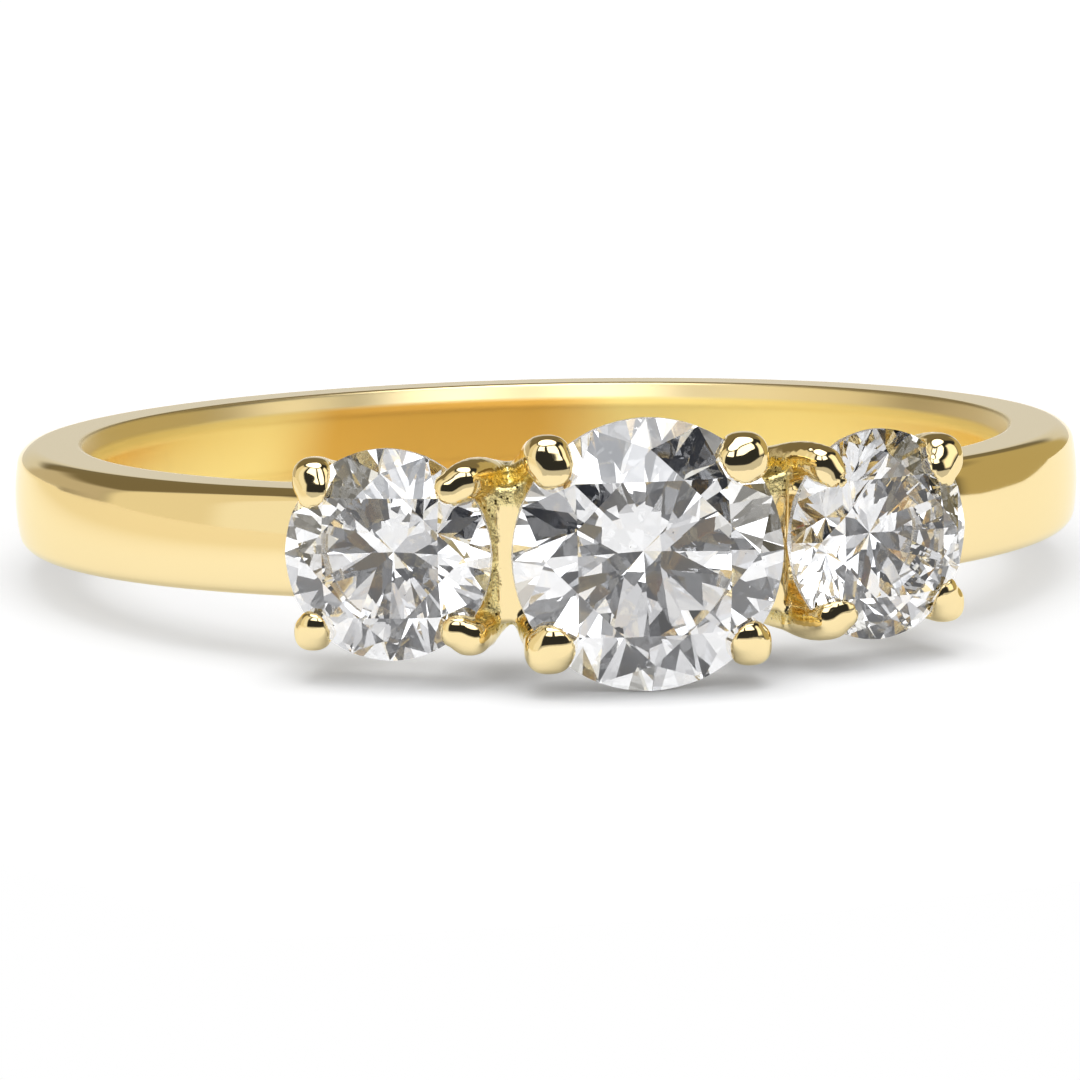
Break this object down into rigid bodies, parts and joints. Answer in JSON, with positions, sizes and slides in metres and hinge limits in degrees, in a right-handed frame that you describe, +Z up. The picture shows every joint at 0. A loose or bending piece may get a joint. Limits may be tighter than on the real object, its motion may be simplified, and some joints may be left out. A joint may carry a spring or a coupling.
{
  "type": "three stone ring",
  "caption": "Finger ring with a plain, slightly domed gold band and a row of round brilliants in claw heads, the middle stone larger than its neighbours.",
  "frame": {"origin": "on the surface that the ring lies on, under the middle of the ring's footprint", "axes": "+Z up from the surface, -Y towards the stones, +X across the row of stones; the finger hole's axis leans about 3.9 degrees from +Z towards +Y"},
  "size_m": [0.02, 0.0224, 0.0048],
  "materials": {
    "gold": "polished yellow gold",
    "diamond": "clear, colourless, faceted and polished"
  },
  "bodies": {
    "root": {"gold_mount": "gold", "centre_stone": "diamond", "left_stone": "diamond", "right_stone": "diamond"}
  },
  "joints": []
}
